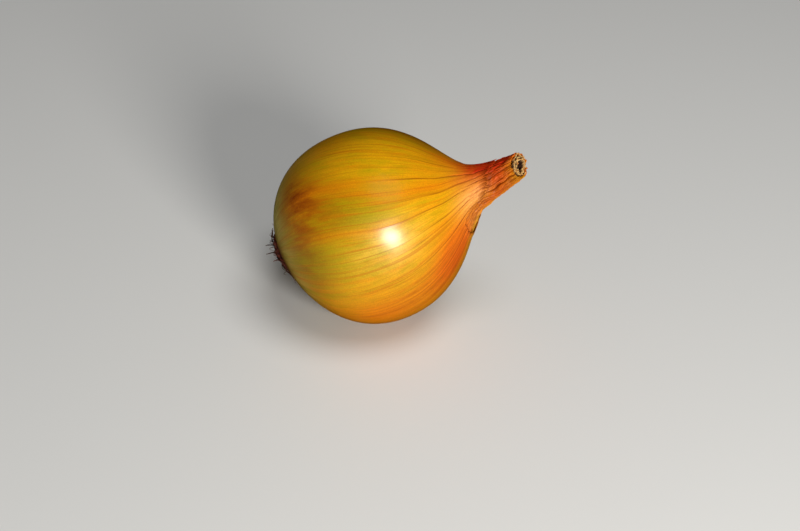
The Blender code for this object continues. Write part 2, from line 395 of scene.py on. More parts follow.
def close_ends(values):
    """Flat values and faces of a grid, shut at both ends by a point amid its end rows."""
    rows, columns = next(iter(values.values())).shape[:2]
    flat = {
        name: np.vstack([grid.reshape(-1, grid.shape[-1]), grid[0].mean(0), grid[-1].mean(0)])
        for name, grid in values.items()
    }
    around = np.arange(columns)
    ahead = (around + 1) % columns
    first = np.full(columns, rows * columns)
    start = (rows - 1) * columns
    fans = np.stack([first, ahead, around], 1).tolist()
    fans += np.stack([first + 1, start + around, start + ahead], 1).tolist()
    return flat, ring_faces(rows, columns).tolist() + fans


def facing_out(points, faces):
    """The faces, turned over when they enclose a negative volume."""
    volume = 0.0
    for corners in {len(face) for face in faces}:
        group = np.array([face for face in faces if len(face) == corners])
        for k in range(1, corners - 1):
            a, b, c = points[group[:, 0]], points[group[:, k]], points[group[:, k + 1]]
            volume += np.einsum("ij,ij->i", a, np.cross(b, c)).sum()
    return faces if volume > 0.0 else [face[::-1] for face in faces]


def add_piece(name, values, faces, material, replaces=()):
    """One mesh piece from its points and vertex values, riding on the onion."""
    points = values["points"]
    mesh = bpy.data.meshes.new(name)
    mesh.from_pydata(points.tolist(), [], facing_out(points, faces))
    mesh.validate()
    for label, array in values.items():
        if label != "points":
            stored = mesh.attributes.new(label, "FLOAT_VECTOR", "POINT")
            stored.data.foreach_set("vector", array.astype(np.float32).ravel())
    mesh.shade_smooth()
    mesh.materials.append(material)
    piece = bpy.data.objects.new(name, mesh)
    bpy.context.scene.collection.objects.link(piece)
    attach(piece, "root")
    if replaces:
        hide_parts(*replaces)


def set_off(turn, along, lift, narrow=1.0):
    """World points of the surface at turn and along, lifted off the outline.

    The vein sway turns each point, the lift moves it along the outline's outward
    direction, and narrow draws it in towards the axis.
    """
    height, radius, out_height, out_radius = on_outline(along)
    swung = turn + sway(turn, along)
    reach = np.maximum(radius + out_radius * lift, 0.02 * MM) * narrow
    return place(height + out_height * lift, reach * np.cos(swung), reach * np.sin(swung))


def skin_values(turn, along, points, veins):
    """Vertex values that the skin's colours read, from the colour patches below.

    Fibre is a place on a plain cylinder, so that patterns on it run along the skin.
    """
    across, ahead = turn + 0.0 * along, along + 0.0 * turn
    pale, olive, blush = (total(patches, turn, along) for patches in (PALE_AND_GLOW, OLIVE, BLUSH))
    orange, red = total(ORANGE, turn, along), total(RED, turn, along)
    peach_and_glint, umber_and_shade = total(PEACH_AND_GLINT, turn, along), total(UMBER_AND_SHADE, turn, along)
    dull = smoothstep(86.0 * MM, 108.0 * MM, ahead)
    return {
        "points": points,
        "zones": np.stack([pale, olive, blush], -1),
        "warmth": np.stack([orange, red, veins], -1),
        # Light orange with painted highlights, dullness, and brown with painted shade.
        "glint_dull_shade": np.stack([peach_and_glint, dull, umber_and_shade], -1),
        "fibre": np.stack([BULB_RADIUS * np.cos(across), BULB_RADIUS * np.sin(across), ahead], -1),
    }


# Colour patches, in degrees and MM: (strength, turn, along, half width in turn, half width along).
# Pale tone near the root; the patch at -68 degrees, 68 MM along is a painted glow beside the highlight.
PALE_AND_GLOW = [
    (1.0, -6, 22, 52, 9), (0.5, 26, 34, 24, 12), (0.22, -68, 68, 16, 12), (0.6, 60, 20, 60, 9),
    (0.5, 150, 20, 70, 9), (0.3, -100, 22, 40, 7),
]
# Light orange on the neck's shoulder: partly the skin's own tone, partly painted highlight.
PEACH_AND_GLINT = [(0.8, -76, 106, 18, 8), (0.35, -45, 110, 26, 8), (0.3, -125, 103, 22, 5), (0.3, 150, 104, 40, 8)]
# Partly the skin's own brown, partly painted shade: low on the base, along the top edge, on the lower
# right and beside the neck's fold.
UMBER_AND_SHADE = [
    (0.7, -103, 104, 8, 7), (0.45, -127, 84, 18, 20), (0.25, -36, 56, 15, 13), (0.3, -130, 104, 16, 8),
    (0.5, 8, 104, 14, 9), (0.85, -68, 33, 34, 11), (0.45, -38, 50, 16, 13), (0.85, 38, 84, 18, 32),
    (0.5, -90, 12, 80, 8), (0.5, -120, 119, 20, 10), (0.3, -94, 119, 20, 7), (0.4, 18, 98, 12, 12),
    (0.5, 110, 30, 50, 12),
]
OLIVE = [
    (0.7, -68, 42, 18, 16), (0.75, -45, 60, 12, 12), (0.35, -38, 72, 14, 12), (0.4, -55, 36, 22, 9),
    (0.15, -5, 45, 20, 12), (0.3, 20, 88, 16, 16), (0.5, 95, 50, 30, 18), (0.4, 170, 70, 24, 20),
]
BLUSH = [
    (0.34, -28, 40, 20, 9), (0.30, -40, 36, 24, 8), (0.16, -10, 38, 22, 8), (0.2, -36, 44, 24, 10),
    (0.4, 130, 44, 26, 9), (0.5, -103, 74, 1.4, 20), (0.55, -110, 80, 1.8, 20),
    (0.45, -97, 84, 1.2, 16), (0.55, -118, 72, 2, 22), (0.4, -91, 78, 1.1, 16), (0.5, -127, 82, 2, 20),
]
ORANGE = [
    (0.75, -118, 52, 20, 20), (1.0, -118, 88, 19, 16), (0.1, -150, 70, 30, 34), (0.7, -95, 92, 24, 14),
    (0.5, -35, 88, 8, 20), (0.5, -26, 52, 5, 16), (0.4, -55, 60, 3, 26), (0.5, 80, 85, 40, 24),
    (0.4, 200, 60, 24, 30), (0.5, -26, 39, 18, 8), (0.3, 10, 52, 12, 12), (0.5, 8, 99, 14, 10),
    (0.3, -18, 90, 14, 10),
]
RED = [
    (1.3, -6, 117, 36, 11), (0.8, 50, 118, 50, 13), (0.7, 120, 118, 60, 12), (0.65, -66, 119, 36, 8),
    (0.5, 180, 120, 40, 12), (0.5, -120, 114, 26, 10), (0.4, -122, 88, 16, 12), (0.3, -35, 104, 30, 8),
    (0.15, -85, 117, 36, 8),
]
# Darker maroon near the root plate, on the lower side and on the back.
BASE_DARKENING = [(1.0, -88, 11, 60, 8), (0.8, 150, 9, 90, 7)]


def build_dry_skin(material):
    """The outer dry skin: a thin shell from the root plate to the torn edge at the neck.

    Twelve columns fill each gap between two veins and crowd towards the veins.
    Rows run from the root edge to the torn edge on the outside, and back inside.
    The shell lies a fixed standoff over the bulb's form. Ridges run along the
    veins, and the skin curls off the bulb at both edges.
    """
    step = np.arange(CELL_COLUMNS) / CELL_COLUMNS
    step = step - 0.6 * np.sin(2.0 * math.pi * step) / (2.0 * math.pi)
    gaps = np.diff(np.append(VEIN_TURNS, VEIN_TURNS[0] + 2.0 * math.pi))
    turn = (VEIN_TURNS[:, None] + gaps[:, None] * step).ravel()[None, :]
    low, high = root_edge(turn), torn_edge(turn)
    out_share = np.linspace(0.0, 1.0, SKIN_ROWS)
    out_share = (out_share - 0.30 * out_share * (1.0 - out_share) * (1.0 - 2.0 * out_share))[:, None]
    in_share = np.linspace(1.0, 0.0, SKIN_INNER_ROWS)[:, None]
    share = np.vstack([out_share, in_share])
    inside = np.vstack([0.0 * out_share, 1.0 + 0.0 * in_share])
    along = low + (high - low) * share
    lift = form(turn, along) + SKIN_STANDOFF + SKIN_THICKNESS * (1.0 - inside)
    shown = 0.10 + 0.90 * smoothstep(52.0 * MM, 92.0 * MM, along)
    veins = vein_lines(turn, along, VEIN_WIDTH) * shown
    veins *= 0.8 + 0.35 * bumps(46, turn, along, 90, 6.0 * MM)
    shallow = 1.0 - smoothstep(95.0 * MM, 112.0 * MM, along)
    lift += 0.05 * MM * shallow * shown * vein_lines(turn, along, 0.55 * MM)
    to_neck, to_root = high - along, along - low
    curl = np.exp(-(to_neck / (1.3 * MM)) ** 2) * (0.6 + 0.5 * bumps(45, turn, along, 40, 400.0 * MM))
    curl += 0.6 * np.exp(-(to_root / (1.2 * MM)) ** 2)
    loose = 1.0 - 0.6 * patch(turn, along, *SNUG_FRONT) - 0.6 * patch(turn, along, *SNUG_TOP)
    lift += EDGE_CURL * curl * loose
    # A line of painted shade along the torn edge, fainter where the edge lies snug, and darker maroon
    # near the root plate.
    veins += 0.65 * loose * np.exp(-(to_neck / (0.5 * MM)) ** 2) + total(BASE_DARKENING, turn, along)
    veins = np.clip(veins, 0.0, 1.0)
    points = press_flat(set_off(turn, along, lift), 0.02 * MM)
    points[..., 2] += 0.10 * MM * inside * (points[..., 2] < 0.4 * MM)
    values = skin_values(turn, along, points, veins)
    values = {name: grid.reshape(-1, 3) for name, grid in values.items()}
    faces = ring_faces(*points.shape[:2], rows_close=True).tolist()
    add_piece("dry_skin", values, faces, material)


def build_bulb_body(material):
    """The bulb under the outer skin: closed, with a crinkled neck and a hollow at its end.

    Rows run over the form from the root pole to the ragged end of the neck,
    round its rim, down the inside of the hollow and in to the hollow's floor.
    Crinkles, which drift round a little on their way up, show only beyond the
    outer skin's torn edge. Painted shade darkens their furrows and a painted highlight
    lightens their crests. Painted shadow darkens a band just past the torn edge, and
    painted shade darkens the hollow.
    """
    turn = (np.arange(BODY_COLUMNS) / BODY_COLUMNS * 2.0 * math.pi - math.pi)[None, :]
    end = neck_end(turn) + 0.6 * MM * ragged(51, turn, 31) + 0.35 * MM * ragged(52, turn, 110)
    low = np.linspace(0.4 * MM, NECK_FROM, BODY_ROWS, endpoint=False)[:, None] + 0.0 * turn
    high = NECK_FROM + (end - NECK_FROM) * np.linspace(0.0, 1.0, NECK_ROWS)[:, None]
    down = np.linspace(0.0, 1.0, HOLLOW_ROWS)[:, None]
    hollow = end - HOLLOW_DEPTH * smoothstep(0.0, 0.75, down)
    along = np.vstack([low, high, hollow])
    outside = np.vstack([np.ones_like(low), np.ones_like(high), np.zeros_like(hollow)])
    wall = np.zeros_like(along)
    wall[-HOLLOW_ROWS:] = NECK_WALL * smoothstep(-0.02, 0.12, down)
    narrow = np.ones_like(along)
    narrow[-HOLLOW_ROWS:] = 1.0 - 0.97 * smoothstep(0.72, 1.0, down)
    bare = smoothstep(-1.5 * MM, 1.0 * MM, along - torn_edge(turn))
    drift = turn + 0.14 * bumps(56, turn, along, 34, 3.2 * MM)
    crinkle = 0.26 * MM * bumps(53, drift, along, 52, 4.2 * MM)
    crinkle += 0.26 * MM * bumps(54, drift, along, 88, 2.4 * MM)
    crinkle += 0.14 * MM * bumps(55, drift, along, 150, 1.2 * MM)
    lift = form(turn, along) - 0.10 * MM - wall + crinkle * bare * (0.4 + 0.6 * outside)
    points = press_flat(set_off(turn, along, lift, narrow), 0.30 * MM)
    veins = 0.8 * vein_lines(turn, along, VEIN_WIDTH) * (0.4 + 0.6 * bare)
    # Painted shade darkens the crinkles' furrows.
    veins += 0.5 * bare * smoothstep(-0.05 * MM, -0.38 * MM, crinkle)
    # A band of painted shadow just past the outer skin's torn edge, fainter where the edge lies snug.
    loose = 1.0 - 0.8 * patch(turn, along, *SNUG_FRONT)
    veins += 0.55 * loose * np.exp(-((along - torn_edge(turn) - 0.3 * MM) / (0.7 * MM)) ** 2)
    # Painted shade darkens the hollow downwards.
    veins[-HOLLOW_ROWS:] += 1.2 * smoothstep(0.03, 0.25, down)
    values = skin_values(turn, along, points, np.clip(veins, 0.0, 1.0))
    # Painted highlight: crinkle crests beyond the torn edge are lightened to light orange.
    crests = 0.45 * bare * smoothstep(0.06 * MM, 0.40 * MM, crinkle) * outside
    values["glint_dull_shade"][..., 0] = np.clip(values["glint_dull_shade"][..., 0] + crests, 0.0, 1.0)
    values, faces = close_ends(values)
    add_piece("bulb_body", values, faces, material, replaces=["bulb"])


def plate_face(radius):
    """Height of the root plate's crowned face at a distance from the axis."""
    share = np.minimum(radius / PLATE_RADIUS, 1.0)
    return -BASE_DEPTH - PLATE_CROWN + (PLATE_CROWN + PLATE_RIM) * share ** 2


def base_height(radius):
    """Height of the bulb's underside at a distance from the axis."""
    base = OUTLINE_HEIGHT <= 0.0
    return np.interp(radius, OUTLINE_RADIUS[base], OUTLINE_HEIGHT[base])


def build_root_plate(material):
    """The corky root plate: a closed, crowned disc with cracks and the scars of broken roots.

    Rows run from the middle of the crowned face to its rim, down the rim and in
    to the middle of the back. Bumps push the face out: broad random ones, round
    scars with a pit in the middle, and cracks where random heights cross zero.
    """
    turn = (np.arange(PLATE_COLUMNS) / PLATE_COLUMNS * 2.0 * math.pi)[None, :]
    face = np.linspace(0.01, 1.0, PLATE_ROWS)[:, None]
    rim = 1.0 + 0.05 * ragged(61, turn, 29) + 0.03 * ragged(62, turn, 90)
    radius = PLATE_RADIUS * face * (1.0 + (rim - 1.0) * face ** 3)
    out = 0.30 * MM * bumps(63, turn, radius * 4.0, 17, 9.0 * MM)
    out += 0.16 * MM * bumps(64, turn, radius * 4.0, 50, 2.6 * MM)
    cracks = 1.0 - smoothstep(0.0, 0.22, np.abs(bumps(65, turn, radius * 4.0, 26, 5.0 * MM)))
    out -= CRACK_DEPTH * cracks * smoothstep(0.1, 0.4, face)
    draw = np.random.default_rng(66)
    for _ in range(ROOT_SCARS):
        reach, around = PLATE_RADIUS * draw.uniform(0.15, 0.92) ** 0.7, draw.uniform(0.0, 2.0 * math.pi)
        size, rise = draw.uniform(0.30, 0.62) * MM, draw.uniform(0.25, 0.75) * MM
        away = np.hypot(radius * np.cos(turn) - reach * math.cos(around),
                        radius * np.sin(turn) - reach * math.sin(around))
        out += rise * (np.exp(-(away / size) ** 4) - 0.8 * np.exp(-(away / (0.45 * size)) ** 2))
    height = plate_face(radius / rim) - out * (1.0 - 0.6 * face ** 6)
    back = -BASE_DEPTH + FLOOR_LIFT
    side = np.linspace(0.0, 1.0, 6)[1:, None]
    inner = np.linspace(1.0, 0.01, 8)[1:, None]
    rim_down = height[-1] + (back - height[-1]) * side
    height = np.vstack([height, rim_down, back + 0.0 * turn + 0.0 * inner])
    radius = np.vstack([radius, radius[-1] - 0.3 * MM * side, (radius[-1] - 0.3 * MM) * inner])
    values = {"points": place(height, -radius * np.cos(turn), radius * np.sin(turn))}
    depth = np.vstack([cracks + 0.0 * face, 0.5 + 0.0 * side + 0.0 * turn, 0.0 * inner + 0.0 * turn])
    values["marks"] = np.stack([depth, 0.0 * depth, 0.0 * depth], -1)
    flat, faces = close_ends(values)
    add_piece("root_plate_cork", flat, faces, material, replaces=["root_plate"])


def ring_root_path(turn, reach, sweep, hump, count):
    """A root that leaves the plate near its rim and lies back along the bulb's base."""
    t = np.linspace(0.0, 1.0, count)
    radius = RING_ROOT_START + reach * t
    angle = turn + sweep * t ** 2
    share = smoothstep(0.0, 1.0, (radius - PLATE_RADIUS) / (4.0 * MM))
    over_plate = plate_face(np.minimum(radius, PLATE_RADIUS))
    surface = over_plate * (1.0 - share) + base_height(radius) * share
    surface = np.minimum(surface, base_height(radius))
    height = surface - ROOT_STANDOFF - hump * np.sin(math.pi * t)
    return np.stack([height, radius * np.cos(angle), radius * np.sin(angle)], axis=1)


def stub_root_path(turn, length, lean, count):
    """A short broken root that stands straight out of the plate and leans outwards."""
    t = np.linspace(0.0, 1.0, count)
    radius = STUB_START + length * math.sin(lean) * t ** 1.5
    height = plate_face(STUB_START) - ROOT_STANDOFF - length * math.cos(lean) * t
    height[0] += ROOT_STANDOFF
    return np.stack([height, radius * math.cos(turn), radius * math.sin(turn)], axis=1)


def wiggle(path, draw, size):
    """A path bent out of line by a few random waves that grow towards its tip."""
    t = np.linspace(0.0, 1.0, len(path))[:, None]
    for waves in (1.0, 2.3, 4.1):
        swing = draw.uniform(-1.0, 1.0, 3) * (0.35, 1.0, 1.0)
        beat = np.sin(2.0 * math.pi * waves * t + draw.uniform(0.0, 6.0))
        path = path + size / waves * swing * beat * t
    return path


def tube(path, radii, sides):
    """A closed tapering tube: rings round the path, square to it, with the roll carried along."""
    steps = np.gradient(path, axis=0)
    steps /= np.linalg.norm(steps, axis=1, keepdims=True)
    side = np.cross(steps[0], (0.3, 0.5, 0.8))
    angles = np.arange(sides) / sides * 2.0 * math.pi
    rings = []
    for point, step, radius in zip(path, steps, radii):
        side = side - step * side.dot(step)
        side = side / np.linalg.norm(side)
        other = np.cross(step, side)
        rings.append(point + radius * (np.cos(angles)[:, None] * side + np.sin(angles)[:, None] * other))
    return np.array(rings)


def root_strand(path, radius, draw, sides):
    """Flat values and faces of one shrivelled root: a tube that tapers and pinches unevenly."""
    t = np.linspace(0.0, 1.0, len(path))
    pinch = 1.0 + 0.22 * np.interp(t * 9.0, np.arange(11), draw.uniform(-1.0, 1.0, 11))
    radii = radius * (1.0 - 0.68 * t) * pinch
    rings = tube(place(path[:, 0], -path[:, 1], path[:, 2]), radii, sides)
    share = np.broadcast_to(t[:, None], rings.shape[:2])
    marks = np.stack([share, np.full(share.shape, draw.uniform()), np.zeros(share.shape)], -1)
    return close_ends({"points": rings, "marks": marks})


def lower_share(turn):
    """1 on the lower side of the plate, where a root's turn is 0, and 0 on its upper side."""
    return 0.5 + 0.5 * math.cos(turn)


def build_roots(material):
    """The sixteen roots of the CAD part, wiggled and tapered, and a mat of fine root hairs.

    Both grow shorter towards the upper side of the plate.
    """
    draw = np.random.default_rng(ROOT_SEED)
    bend = np.random.default_rng(71)
    paths = []
    for index in range(RING_ROOTS):
        turn = 2.0 * math.pi * (index + draw.uniform(-0.2, 0.2)) / RING_ROOTS
        reach = draw.uniform(*RING_ROOT_REACH)
        sweep = draw.uniform(-0.12, 0.12)
        hump = draw.uniform(0.1, 0.5) * MM
        shown = 0.55 + 0.45 * lower_share(turn)
        paths.append(ring_root_path(turn, reach * shown, sweep, hump, 34))
    for index in range(STUB_ROOTS):
        turn = 2.0 * math.pi * (index + draw.uniform(0.3, 0.6)) / STUB_ROOTS
        length = draw.uniform(*STUB_LENGTH)
        lean = math.radians(draw.uniform(5.0, 30.0))
        paths.append(stub_root_path(turn, length, lean, 18))
    for number, path in enumerate(paths, start=1):
        flat, faces = root_strand(wiggle(path, bend, 0.35 * MM), ROOT_RADIUS, bend, 9)
        name = f"root_{number:02d}"
        add_piece("dried_" + name, flat, faces, material, replaces=[name])
    strands = []
    for _ in range(ROOT_HAIRS):
        start, turn = bend.uniform(*HAIR_START), bend.uniform(0.0, 2.0 * math.pi)
        reach = bend.uniform(*HAIR_REACH) * (0.3 + 0.7 * lower_share(turn))
        t = np.linspace(0.0, 1.0, 14)
        radius = start + reach * t
        surface = np.minimum(plate_face(radius), base_height(radius))
        loft = (bend.uniform(0.05, 0.5) + 1.6 * (bend.uniform() > 0.88)) * MM
        height = surface - 0.05 * MM - loft * np.sin(math.pi * np.minimum(t * 1.15, 1.0) * 0.9)
        angle = turn + bend.uniform(-0.6, 0.6) * t ** 1.5
        path = np.stack([height, radius * np.cos(angle), radius * np.sin(angle)], axis=1)
        path = wiggle(path, bend, 0.45 * MM)
        strands.append(root_strand(path, bend.uniform(*HAIR_RADIUS), bend, 5))
    add_joined("root_hairs", strands, material)


def add_joined(name, parts, material):
    """One piece made of several closed parts."""
    faces, start = [], 0
    for flat, part_faces in parts:
        faces += [[corner + start for corner in face] for face in facing_out(flat["points"], part_faces)]
        start += len(flat["points"])
    values = {label: np.vstack([flat[label] for flat, _ in parts]) for label in parts[0][0]}
    add_piece(name, values, faces, material)


def build_neck_layers(material):
    """Dried layer ends packed in the neck: crumpled thin tubes, one inside another.

    Each is a shell whose distance from its own middle is a mean radius times
    one plus a few random waves round it. Its upper edge is ragged.
    """
    draw = np.random.default_rng(81)
    turn = (np.arange(LAYER_COLUMNS) / LAYER_COLUMNS * 2.0 * math.pi - math.pi)[None, :]
    foot = NECK_END - LAYER_DEPTH
    parts = []
    for mean, top, shift_up, shift_side in NECK_LAYERS:
        waves = sum(
            draw.uniform(0.02, 0.07) * np.cos(count * turn + draw.uniform(0.0, 2.0 * math.pi))
            for count in (2, 3, 5, 7, 11)
        )
        edge = neck_end(turn) + top * MM
        edge = edge + 0.45 * MM * ragged(draw.integers(999), turn, 23)
        edge = edge + 0.30 * MM * ragged(draw.integers(999), turn, 70)
        rows = np.linspace(0.0, 1.0, LAYER_ROWS)[:, None]
        share = np.vstack([rows, rows[::-1]])
        inside = np.vstack([0.0 * rows, 1.0 + 0.0 * rows])
        along = foot + (edge - foot) * share
        swell = mean * MM * (1.0 + waves * (0.3 + 0.9 * share))
        swell = swell + 0.10 * MM * bumps(82, turn, along, 60, 1.4 * MM) - LAYER_WALL * inside
        up = shift_up * MM + swell * np.cos(turn)
        side = shift_side * MM + swell * np.sin(turn)
        points = place(on_outline(along)[0], up, side)
        values = skin_values(turn, along, points, 0.0 * swell)
        # Painted shade: the layers darken further down the neck.
        values["glint_dull_shade"][..., 2] = 0.3 + 0.7 * (1.0 - share)
        flat = {name: grid.reshape(-1, 3) for name, grid in values.items()}
        parts.append((flat, ring_faces(*points.shape[:2], rows_close=True).tolist()))
    add_joined("neck_layers", parts, material)


# ---------------------------------------------------------------- shader nodes

def link(tree, source, target):
    tree.links.new(source, target)


def node(tree, kind, **settings):
    """A new shader node with its settings."""
    made = tree.nodes.new(kind)
    for name, value in settings.items():
        setattr(made, name, value)
    return made


def feed(tree, target, value):
    """Gives a socket another socket's output, an RGB triple or a plain value."""
    if isinstance(value, bpy.types.NodeSocket):
        link(tree, value, target)
    elif target.type == "RGBA":
        target.default_value = (*value, 1.0)
    else:
        target.default_value = value


def attribute(tree, name):
    return node(tree, "ShaderNodeAttribute", attribute_name=name).outputs["Vector"]


def parts_of(tree, name):
    """The three numbers of a vertex attribute, each as an output."""
    split = node(tree, "ShaderNodeSeparateXYZ")
    link(tree, attribute(tree, name), split.inputs[0])
    return split.outputs


def on_object(tree):
    return node(tree, "ShaderNodeTexCoord").outputs["Object"]


def mix_colour(tree, amount, first, second, blend="MIX"):
    mix = node(tree, "ShaderNodeMix", data_type="RGBA", blend_type=blend)
    for socket, value in ((mix.inputs[0], amount), (mix.inputs[6], first), (mix.inputs[7], second)):
        feed(tree, socket, value)
    return mix.outputs[2]


def times(tree, first, second):
    product = node(tree, "ShaderNodeMath", operation="MULTIPLY")
    feed(tree, product.inputs[0], first)
    feed(tree, product.inputs[1], second)
    return product.outputs[0]


def spread(tree, value, low, high, out_low=0.0, out_high=1.0):
    """A value stretched from one range to another and held within it."""
    made = node(tree, "ShaderNodeMapRange")
    for socket, number in zip(made.inputs[:5], (value, low, high, out_low, out_high)):
        feed(tree, socket, number)
    return made.outputs[0]


def per_axis(size, stretch=1.0):
    """The scale of a pattern with features of a size, drawn out along the third axis by a stretch."""
    return (1.0 / size, 1.0 / size, 1.0 / (size * stretch))


def noise(tree, place_on, scale, detail, roughness=0.55):
    """Noise on a place that is first multiplied by a scale with a number for each axis."""
    scaled = node(tree, "ShaderNodeVectorMath", operation="MULTIPLY")
    feed(tree, scaled.inputs[0], place_on)
    feed(tree, scaled.inputs[1], scale)
    made = node(tree, "ShaderNodeTexNoise")
    link(tree, scaled.outputs[0], made.inputs["Vector"])
    for name, value in (("Scale", 1.0), ("Detail", detail), ("Roughness", roughness)):
        feed(tree, made.inputs[name], value)
    return made.outputs["Fac"]


# ---------------------------------------------------------------- effects that materials share

def make_group(name, inputs, outputs):
    """An empty shader node group, with the sockets that its inputs give and its outputs take."""
    group = bpy.data.node_groups.new(name, "ShaderNodeTree")
    for in_out, sockets in (("INPUT", inputs), ("OUTPUT", outputs)):
        for label, kind in sockets.items():
            group.interface.new_socket(label, in_out=in_out, socket_type="NodeSocket" + kind)
    return group, node(group, "NodeGroupInput").outputs, node(group, "NodeGroupOutput").inputs


def use_group(tree, group, **values):
    """The outputs of a group placed in a material, with its own values for the group's inputs."""
    placed = node(tree, "ShaderNodeGroup", node_tree=group)
    for label, value in values.items():
        feed(tree, placed.inputs[label], value)
    return placed.outputs


def make_grain_group():
    """Grain: noise on a scaled place, as a height and as a shade from dark to light."""
    group, given, made = make_group(
        "grain",
        {"place": "Vector", "scale": "Vector", "detail": "Float", "roughness": "Float",
         "dark": "Float", "light": "Float"},
        {"height": "Float", "shade": "Color"},
    )
    height = noise(group, given["place"], given["scale"], given["detail"], given["roughness"])
    level = spread(group, height, 0.3, 0.7, given["dark"], given["light"])
    shade = node(group, "ShaderNodeCombineColor")
    for socket in shade.inputs[:3]:
        link(group, level, socket)
    link(group, height, made["height"])
    link(group, shade.outputs[0], made["shade"])
    return group


def make_mottle_group():
    """Mottle: two colours in cloudy patches, blended where noise lies between low and high."""
    group, given, made = make_group(
        "mottle",
        {"place": "Vector", "scale": "Vector", "detail": "Float", "low": "Float", "high": "Float",
         "first": "Color", "second": "Color"},
        {"colour": "Color"},
    )
    clouds = noise(group, given["place"], given["scale"], given["detail"])
    share = spread(group, clouds, given["low"], given["high"])
    link(group, mix_colour(group, share, given["first"], given["second"]), made["colour"])
    return group


# ---------------------------------------------------------------- materials

def new_material(name):
    material = bpy.data.materials.new(name)
    material.use_nodes = True
    return material, material.node_tree, material.node_tree.nodes["Principled BSDF"]


def relief(tree, shader, height, strength, depth):
    """Fine relief in a shader's normal, from a height."""
    bump = node(tree, "ShaderNodeBump")
    bump.inputs["Strength"].default_value = strength
    bump.inputs["Distance"].default_value = depth
    link(tree, height, bump.inputs["Height"])
    link(tree, bump.outputs[0], shader.inputs["Normal"])


def dry_finish(shader, roughness, specular):
    shader.inputs["Roughness"].default_value = roughness
    shader.inputs["Specular IOR Level"].default_value = specular


SKIN_GOLD = (0.62, 0.32, 0.002)
SKIN_OLIVE = (0.33, 0.26, 0.001)
# Brown: partly the skin's own tone, partly painted shade.
SKIN_UMBER_SHADE = (0.22, 0.10, 0.001)
# Pale yellow: the pale base, and a painted glow beside the highlight.
SKIN_PALE = (0.88, 0.74, 0.18)
SKIN_ORANGE = (0.66, 0.145, 0.001)
SKIN_RED = (0.48, 0.020, 0.003)
SKIN_BLUSH = (0.26, 0.050, 0.001)
# Dark red-brown: veins, and painted shade in furrows, in the hollow and at the torn edge.
SKIN_VEIN_AND_SHADE = (0.19, 0.030, 0.001)
# Light orange: the neck's own tone, and painted highlights on the shoulder and on crinkle crests.
SKIN_PEACH_GLINT = (0.80, 0.36, 0.10)
SKIN_THREAD = (0.38, 0.10, 0.001)

LAYER_CREAM = (0.62, 0.42, 0.16)
LAYER_TAN = (0.42, 0.16, 0.035)
# Painted shade for the layers down inside the neck.
LAYER_DEEP_SHADE = (0.030, 0.009, 0.003)

CORK_MAROON = (0.17, 0.022, 0.014)
CORK_BROWN = (0.34, 0.090, 0.045)
CORK_CRACK = (0.010, 0.004, 0.003)

ROOT_DARK = (0.018, 0.006, 0.004)
ROOT_BROWN = (0.070, 0.026, 0.012)
ROOT_TIP = (0.36, 0.14, 0.10)


def make_skin_material(name, grain):
    """Dry onion skin: gold with olive, pale, orange and red zones, veins and fine fibres.

    Clouds of noise make the olive blotches, and break up the blush where they lie.
    The skin is glossy on the bulb and dull on the neck. Its browns and dark red-brown
    also paint shade, and its light orange and pale yellow also paint highlights.
    """
    material, tree, shader = new_material(name)
    pale, olive, blush = parts_of(tree, "zones")
    orange, red, vein = parts_of(tree, "warmth")
    peach_and_glint, dull, umber_and_shade = parts_of(tree, "glint_dull_shade")
    fibre = attribute(tree, "fibre")
    clouds = noise(tree, fibre, per_axis(4.2 * MM, 2.4), 4.0, 0.65)
    warm = noise(tree, fibre, per_axis(2.6 * MM, 9.0), 4.0, 0.6)
    threads = noise(tree, fibre, per_axis(0.55 * MM, 90.0), 2.0)
    streaks = use_group(tree, grain, place=fibre, scale=per_axis(0.7 * MM, 34.0),
                        detail=4.0, roughness=0.65, dark=0.90, light=1.09)
    specks = use_group(tree, grain, place=on_object(tree), scale=per_axis(0.45 * MM),
                       detail=4.0, roughness=0.7, dark=0.84, light=1.16)
    colour = mix_colour(tree, olive, SKIN_GOLD, SKIN_OLIVE)
    # Painted shade, with some of the skin's own brown.
    colour = mix_colour(tree, umber_and_shade, colour, SKIN_UMBER_SHADE)
    # Pale tone, with a painted glow beside the highlight.
    colour = mix_colour(tree, pale, colour, SKIN_PALE)
    colour = mix_colour(tree, spread(tree, clouds, 0.42, 0.66, 0.0, 0.62), colour, SKIN_OLIVE)
    colour = mix_colour(tree, spread(tree, warm, 0.50, 0.72, 0.0, 0.42), colour, SKIN_ORANGE)
    colour = mix_colour(tree, orange, colour, SKIN_ORANGE)
    # Painted highlights, with the neck's own light orange.
    colour = mix_colour(tree, peach_and_glint, colour, SKIN_PEACH_GLINT)
    colour = mix_colour(tree, red, colour, SKIN_RED)
    broken = spread(tree, clouds, 0.38, 0.64, 1.45, 0.25)
    colour = mix_colour(tree, times(tree, blush, broken), colour, SKIN_BLUSH)
    colour = mix_colour(tree, 1.0, colour, streaks["shade"], "MULTIPLY")
    colour = mix_colour(tree, 1.0, colour, specks["shade"], "MULTIPLY")
    colour = mix_colour(tree, spread(tree, threads, 0.57, 0.66, 0.0, 0.50), colour, SKIN_THREAD)
    # Veins, and painted shade in furrows, in the hollow and at the torn edge.
    colour = mix_colour(tree, times(tree, vein, 0.95), colour, SKIN_VEIN_AND_SHADE)
    link(tree, colour, shader.inputs["Base Color"])
    link(tree, spread(tree, dull, 0.0, 1.0, 0.38, 0.60), shader.inputs["Roughness"])
    link(tree, spread(tree, dull, 0.0, 1.0, 0.80, 0.05), shader.inputs["Coat Weight"])
    shader.inputs["Specular IOR Level"].default_value = 0.12
    shader.inputs["Coat Roughness"].default_value = 0.26
    relief(tree, shader, streaks["height"], 0.5, 0.06 * MM)
    return material


